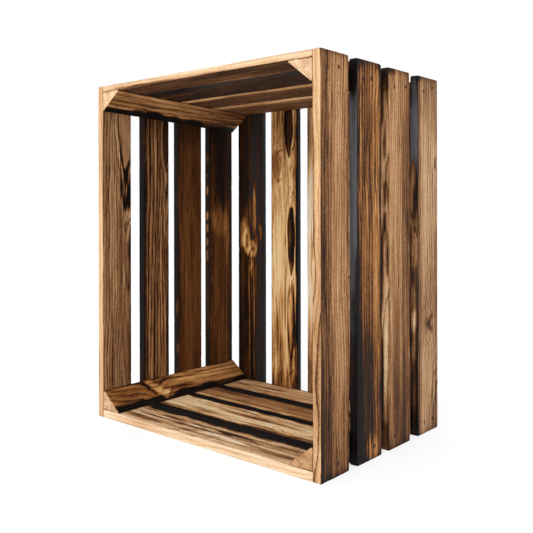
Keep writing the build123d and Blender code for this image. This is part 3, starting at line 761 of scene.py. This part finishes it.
def shape_post(p, size, look, phase):
    u, v, w = p.T
    seed = look["seed"]
    moved = p.copy()
    slant = np.array([size[2] - POST_BLUNT, size[1] - POST_BLUNT])
    slant = slant / np.linalg.norm(slant)
    soft = RELIEF * (1 - ring_line(phase, seed))
    skin = 0.1 + soft + 0.35 * (1 + fractal(u / 40, v / 9, seed=seed + 53))
    on_slant = smooth(0.6, 1.0, w / np.maximum(post_height(v, size), 1e-6))
    moved[:, 1:] -= (on_slant * (v > POST_BLUNT * 0.4) * skin)[:, None] * slant
    # Blunt the long arrises and both ends.
    heart = size[1:] / 3
    for middle_v, middle_w in ((POST_BLUNT, size[2]), (size[1], POST_BLUNT), (0, size[2]),
                               (size[1], 0)):
        reach = np.hypot(v - middle_v, w - middle_w)
        pull = 0.45 * np.exp(-(reach / 1.2) ** 2) * (1 + 0.5 * fractal(u / 12, seed=seed + 55))
        inward = heart - (middle_v, middle_w)
        moved[:, 1:] += pull[:, None] * inward / np.linalg.norm(inward)
    for distance in (u, size[0] - u):
        pull = 0.02 * np.exp(-(distance / 0.6) ** 2)
        moved[:, 1:] += pull[:, None] * (heart - p[:, 1:])
    end = 0.15 + 0.12 * fractal(v / 6, w / 6, seed=seed + 59)
    pull_in(moved, 0, u / size[0], end, end)
    moved[:, 1:] = np.clip(moved[:, 1:], SKIN, size[1:])
    return carve(moved, look)


# ---- materials ----
def linear(*srgb):
    """A colour in 0..255 display values as linear light."""
    return tuple((c / 255 / 12.92) if c <= 10 else ((c / 255 + 0.055) / 1.055) ** 2.4
                 for c in srgb) + (1.0,)


def grey(level):
    return (level, level, level, 1.0)


# The wood's colour at each darkness, and its tints.
CHAR_COLOURS = (
    (0.00, (252, 238, 214)), (0.10, (242, 215, 178)), (0.26, (218, 176, 131)),
    (0.40, (186, 141, 99)), (0.54, (141, 98, 62)), (0.68, (94, 59, 33)), (0.80, (54, 32, 18)),
    (0.90, (27, 17, 11)), (1.00, (12, 9, 8)))
ORANGE = (1.0, 0.82, 0.50, 1.0)
PINK = (0.98, 1.05, 1.18, 1.0)
# The grey of the painted sheen, a painted reflection on char.
SHEEN_GREY = (0.125, 0.122, 0.131, 1.0)

# One growth ring, from the soft early wood to the hard line that ends it.
RING_PROFILE = ((0.0, 0), (0.40, 0.05), (0.70, 0.40), (0.84, 1), (0.95, 0.95), (0.99, 0.02))
RING_MEAN = 0.30

# How far each layer of the pattern changes the darkness.
WANDER, BANDS, THREADS, FIBRES, SPECKS, CLOUDS, HATCH = 0.30, 0.36, 0.13, 0.14, 0.17, 0.07, 0.03
SAW_SLANT = (1.545, -0.98, 0.0)     # radians of a saw mark's wave per millimetre
SAW_SWAY = 14.0           # how far noise bends the marks


class Graph:
    """A material's nodes, made with few words."""

    def __init__(self, name):
        self.material = bpy.data.materials.new(name)
        self.material.use_nodes = True
        self.tree = self.material.node_tree
        self.tree.nodes.clear()

    def add(self, kind, inputs=(), **settings):
        made = self.tree.nodes.new(kind)
        for key, value in settings.items():
            setattr(made, key, value)
        for key, value in dict(inputs).items():
            socket = made.inputs[key]
            if isinstance(value, bpy.types.NodeSocket):
                self.tree.links.new(value, socket)
            else:
                socket.default_value = value
        return made

    def math(self, operation, *values):
        return self.add("ShaderNodeMath", enumerate(values), operation=operation).outputs[0]

    def value(self, name, output="Fac"):
        return self.add("ShaderNodeAttribute", attribute_name=name).outputs[output]

    def layer(self, vector, along, across, detail, roughness=0.55):
        """Noise with this many lumps per unit along and across the grain."""
        place = self.add("ShaderNodeVectorMath", {0: vector, 1: (along, across, across)},
                         operation="MULTIPLY").outputs[0]
        made = self.add("ShaderNodeTexNoise", {
            "Vector": place, "Scale": 1.0, "Detail": detail, "Roughness": roughness})
        return made.outputs["Fac"]

    def spread(self, value, amount):
        """value, which is about 0.5, as a change of up to amount either way."""
        return self.math("MULTIPLY_ADD", value, 2 * amount, -amount)

    def plus(self, base, share, change):
        """base + share * change"""
        return self.math("MULTIPLY_ADD", share, change, base)

    def smoothstep(self, low, high, value):
        return self.add("ShaderNodeMapRange", {
            "Value": value, "From Min": low, "From Max": high, "To Min": 0.0, "To Max": 1.0},
            interpolation_type="SMOOTHSTEP").outputs[0]

    def mixed(self, share, first, second, blend="MIX"):
        return self.add("ShaderNodeMix", {"Factor": share, 6: first, 7: second},
                        data_type="RGBA", blend_type=blend, clamp_factor=True).outputs[2]

    def curve(self, value, stops):
        made = self.add("ShaderNodeValToRGB", {0: value})
        ramp = made.color_ramp
        while len(ramp.elements) < len(stops):
            ramp.elements.new(0.5)
        for element, (place, _) in zip(ramp.elements, stops):
            element.position = place
        for element, (_, colour) in zip(ramp.elements, stops):
            element.color = colour
        return made.outputs["Color"]

    def finish(self, **inputs):
        """The surface, and the finished material."""
        named = {key.replace("_", " "): value for key, value in inputs.items()}
        shader = self.add("ShaderNodeBsdfPrincipled", named)
        self.add("ShaderNodeOutputMaterial", {"Surface": shader.outputs[0]})
        return self.material


def growth_rings(g, grain):
    """0 on soft early wood, about 1 on the hard line that ends each ring."""
    phase = g.math("ADD", g.value("ring"), g.spread(g.layer(grain, 0.03, 0.4, 2), WANDER))
    which = g.add("ShaderNodeTexWhiteNoise", {"W": g.math("FLOOR", phase)},
                  noise_dimensions="1D").outputs["Value"]
    line = g.curve(g.math("FRACT", phase), [(place, grey(level)) for place, level in RING_PROFILE])
    return g.math("MULTIPLY", line, g.math("MULTIPLY_ADD", which, 0.9, 0.45))


def dark_threads(g, grain):
    """1 along thin wandering lines, 0 between."""
    threads = g.layer(grain, 0.0032, 0.15, 3)
    threads = g.math("ABSOLUTE", g.math("SUBTRACT", threads, 0.5))
    return g.smoothstep(0.026, 0.0, threads)


def flame_tongues(g, grain):
    """1 where a tongue of the flame burnt darker, -0.5 where it spared the wood."""
    tongues = g.layer(grain, 0.009, 0.13, 6, 0.72)
    return g.plus(g.smoothstep(0.55, 0.62, tongues), g.smoothstep(0.44, 0.36, tongues), -0.5)


def saw_marks(g, grain):
    """Slanting waves left by the saw, from -1 to 1."""
    across = g.add("ShaderNodeVectorMath", {0: grain, 1: SAW_SLANT},
                   operation="DOT_PRODUCT").outputs["Value"]
    return g.math("SINE", g.plus(across, g.layer(grain, 0.05, 0.07, 3), SAW_SWAY))


def wood_material(name):
    g = Graph(name)
    grain = g.value("grain", "Vector")
    line = growth_rings(g, grain)
    hatch = saw_marks(g, grain)
    bands = g.layer(grain, 0.0045, 0.17, 5, 0.70)
    fibres = g.layer(grain, 0.05, 1.3, 3, 0.65)
    uneven = g.value("streak")
    sawn_here = g.math("MULTIPLY", g.value("saw"),
                       g.smoothstep(0.38, 0.62, g.layer(grain, 0.02, 0.09, 2)))

    level = g.plus(g.value("dark"), g.value("contrast"), g.math("SUBTRACT", line, RING_MEAN))
    level = g.plus(level, uneven, g.spread(bands, BANDS))
    level = g.plus(level, uneven, g.math("MULTIPLY", dark_threads(g, grain), THREADS))
    level = g.plus(level, uneven, g.spread(fibres, FIBRES))
    level = g.math("ADD", level, g.spread(g.layer(grain, 0.28, 0.55, 3, 0.7), SPECKS))
    level = g.math("ADD", level, g.spread(g.layer(grain, 0.012, 0.05, 3), CLOUDS))
    level = g.plus(level, g.value("ragged"), flame_tongues(g, grain))
    level = g.plus(level, sawn_here, g.math("MULTIPLY", hatch, HATCH))

    colour = g.curve(level, [(place, linear(*rgb)) for place, rgb in CHAR_COLOURS])
    tint = g.math("MULTIPLY", g.value("warm"), g.smoothstep(0.95, 0.78, level))
    colour = g.mixed(tint, colour, ORANGE, "MULTIPLY")
    colour = g.mixed(g.math("MULTIPLY", tint, -1.0), colour, PINK, "MULTIPLY")
    # Painted sheen: a painted grey reflection mixed over the char, patchy along the grain bands.
    sheen_patches = g.math("MULTIPLY", g.value("painted_sheen"), g.smoothstep(0.70, 0.90, level))
    sheen_patches = g.math("MULTIPLY", sheen_patches, g.smoothstep(0.20, 0.62, bands))
    colour = g.mixed(sheen_patches, colour, SHEEN_GREY)

    gloss = g.math("MULTIPLY_ADD", g.smoothstep(0.60, 0.98, level), -0.15, 0.75)
    gloss = g.math("ADD", gloss, g.spread(fibres, 0.12))
    height = g.math("MULTIPLY_ADD", line, 0.5, g.math("MULTIPLY", fibres, 0.5))
    height = g.plus(height, g.value("saw"), g.math("MULTIPLY", hatch, 0.12))
    normal = g.add("ShaderNodeBump", {
        "Height": height, "Strength": 0.6, "Distance": 0.0005}).outputs[0]
    return g.finish(Base_Color=colour, Roughness=gloss, Normal=normal, Specular_IOR_Level=0.10)


def nail_material():
    """Dull steel with rusty stains; its noise is in metres."""
    g = Graph("nails")
    place = g.add("ShaderNodeTexCoord").outputs["Object"]
    fine = g.layer(place, 900, 900, 3)
    stain = g.smoothstep(0.42, 0.62, g.layer(place, 160, 160, 3))
    colour = g.mixed(stain, (0.035, 0.032, 0.032, 1.0), (0.075, 0.038, 0.020, 1.0))
    rough = g.math("MULTIPLY_ADD", stain, 0.25, g.math("MULTIPLY_ADD", fine, 0.2, 0.35))
    normal = g.add("ShaderNodeBump", {
        "Height": fine, "Strength": 0.4, "Distance": 0.0002}).outputs[0]
    return g.finish(Base_Color=colour, Roughness=rough, Metallic=0.8, Normal=normal)


MATERIALS = {slot: wood_material(slot) for slot in (
    "side_boards", "top_end_boards", "bottom_end_boards", "base_boards", "posts")}

# ---- build ----
NAIL_NEAR = 3.0           # a nail this near a board's outer face is one of its own
STAIN_REACH, STAIN_DARK = 2.4, 0.30     # the dark ring that a nail leaves in the wood


def finish_piece(node, place, moved, quads, layers, slot):
    thing = make_mesh(node + "_wood", place.world(moved), quads, layers)
    thing.data.materials.append(MATERIALS[slot])
    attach(thing, "root")
    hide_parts(node)


def build_board(node, place, slot):
    size = place.size
    spots = place.local(NAIL_HEADS)
    near = ((np.abs(spots[:, 2] - size[2]) < NAIL_NEAR) & (spots[:, :2] > 0).all(1)
            & (spots[:, :2] < size[:2]).all(1))
    spots = spots[near]
    thick = [*ARRIS_STEPS, size[2] / 2, *(size[2] - step for step in ARRIS_STEPS[::-1])]
    us = stations(size[0], ALONG_STEP, np.unique(spots[:, 0].round(1)))
    vs = stations(size[1], ACROSS_STEP, np.unique(spots[:, 1].round(1)))
    section = np.stack(np.meshgrid(vs, thick, indexing="ij"), -1)
    p, quads = long_piece(us, section)
    layers = paint(node, p, size)
    for nail_u, nail_v, _ in spots:
        reach = np.hypot(p[:, 0] - nail_u, p[:, 1] - nail_v)
        stain = np.exp(-(reach / STAIN_REACH) ** 4) * (p[:, 2] > size[2] / 2)
        layers["dark"] = layers["dark"] + STAIN_DARK * stain
    moved = shape_board(p, size, look_of(node), layers["ring"], spots)
    finish_piece(node, place, moved, quads, layers, slot)


def build_post(node, place):
    size = place.size
    us = stations(size[0], ALONG_STEP)
    vs = np.concatenate([[0, 0.6, 1.2], np.linspace(POST_BLUNT, size[1], POST_ROWS)])
    section = np.stack([np.repeat(vs[:, None], len(POST_LAYERS), 1),
                        post_height(vs, size)[:, None] * POST_LAYERS], -1)
    p, quads = long_piece(us, section)
    layers = paint(node, p, size, post=True)
    moved = shape_post(p, size, look_of(node), layers["ring"])
    finish_piece(node, place, moved, quads, layers, "posts")


RIGHT, REAR, UP, DOWN = (1, 0, 0), (0, 1, 0), (0, 0, 1), (0, 0, -1)
for side, sign in SIDES:
    for number in range(1, 5):
        node = f"{side}_side_slat_{number}"
        build_board(node, box_place(node, UP, REAR, (sign, 0, 0)), "side_boards")
for number in range(1, 5):
    node = f"top_end_slat_{number}"
    build_board(node, top_place(node), "top_end_boards")
    node = f"bottom_end_slat_{number}"
    build_board(node, box_place(node, RIGHT, REAR, DOWN), "bottom_end_boards")
for number in range(1, 6):
    node = f"base_slat_{number}"
    build_board(node, box_place(node, UP, RIGHT, REAR), "base_boards")
for side, sign in SIDES:
    for height, up in (("upper", 1), ("lower", -1)):
        node = f"{height}_{side}_post"
        build_post(node, post_place(node, sign, up))

steel = nail_material()
for node in NAIL_AXES:
    nail_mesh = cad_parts[node].data
    if not nail_mesh.materials:
        nail_mesh.materials.append(steel)
    for index in range(len(nail_mesh.materials)):
        nail_mesh.materials[index] = steel

# ---- camera, floor and light ----
CAMERA_PLACE = (0.68156, -0.82988, 0.31905)
CAMERA_AIM = (-0.66927, 0.74302, 0.0)
CAMERA_ROLL = -0.0018
FLOOR_REACH = 30.0

camera = place_in_scene("camera", bpy.data.cameras.new("camera"))
scene.camera = camera
camera.data.lens = 48.766
camera.data.sensor_width = 36.0
camera.data.shift_x = 0.0643
camera.data.shift_y = -0.1139
camera.data.clip_start = 0.02
upright = Vector((0, 0, 1))
look_along = Vector(CAMERA_AIM).normalized()
cam_right = (look_along.cross(upright) * math.cos(CAMERA_ROLL)
             + upright * math.sin(CAMERA_ROLL))
cam_up = cam_right.cross(look_along)
camera.matrix_world = Matrix.Translation(CAMERA_PLACE) @ Matrix(
    (cam_right, cam_up, -look_along)).transposed().to_4x4()

floor_mesh = bpy.data.meshes.new("floor")
floor_mesh.from_pydata(
    [(x * FLOOR_REACH, y * FLOOR_REACH, 0) for x, y in ((-1, -1), (1, -1), (1, 1), (-1, 1))],
    [], [(0, 1, 2, 3)])
floor_mesh.materials.append(Graph("floor").finish(
    Base_Color=(0.3, 0.3, 0.3, 1.0), Roughness=0.9, Specular_IOR_Level=0.0,
    Emission_Color=(1.0, 1.0, 1.0, 1.0), Emission_Strength=0.74))
floor = place_in_scene("floor", floor_mesh)

world = bpy.data.worlds.new("studio")
scene.world = world
world.use_nodes = True
background = world.node_tree.nodes["Background"]
background.inputs["Color"].default_value = (1.0, 1.0, 1.0, 1.0)
background.inputs["Strength"].default_value = 1.0

key_data = bpy.data.lights.new("key", "AREA")
key_data.energy = 21
key_data.size = 1.5
key = place_in_scene("key", key_data)
key.location = (0.35, -2.2, 1.5)
key.rotation_euler = (Vector((0, 0, 0.2)) - key.location).to_track_quat("-Z", "Y").to_euler()

scene.view_settings.view_transform = "Standard"
